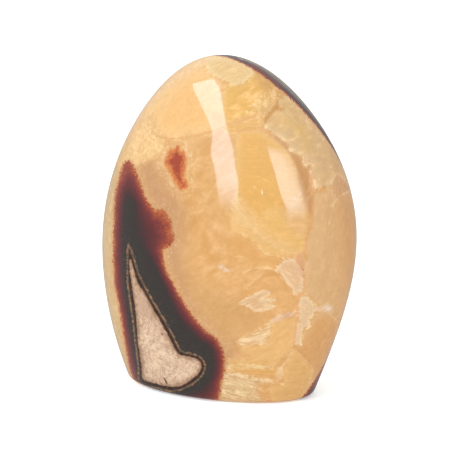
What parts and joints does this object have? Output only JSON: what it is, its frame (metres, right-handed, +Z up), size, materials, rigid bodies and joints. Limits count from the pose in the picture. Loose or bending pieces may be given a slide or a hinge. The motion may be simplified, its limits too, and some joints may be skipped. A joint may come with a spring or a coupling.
{
  "type": "septarian stone sculpture",
  "caption": "Polished egg-shaped septarian stone with a small flat foot, to stand as an ornament or paperweight.",
  "frame": {"origin": "middle of the bounding box at table level, on the flat foot", "axes": "+Z up from the table to the tip, X along the stone's length, the broad face with the limestone wedge towards -Y"},
  "size_m": [0.0963, 0.056, 0.12],
  "materials": {
    "septarian": "polished honey calcite with dark brown aragonite bands and fields of grey-beige limestone"
  },
  "bodies": {
    "root": {"stone": "septarian"}
  },
  "joints": []
}
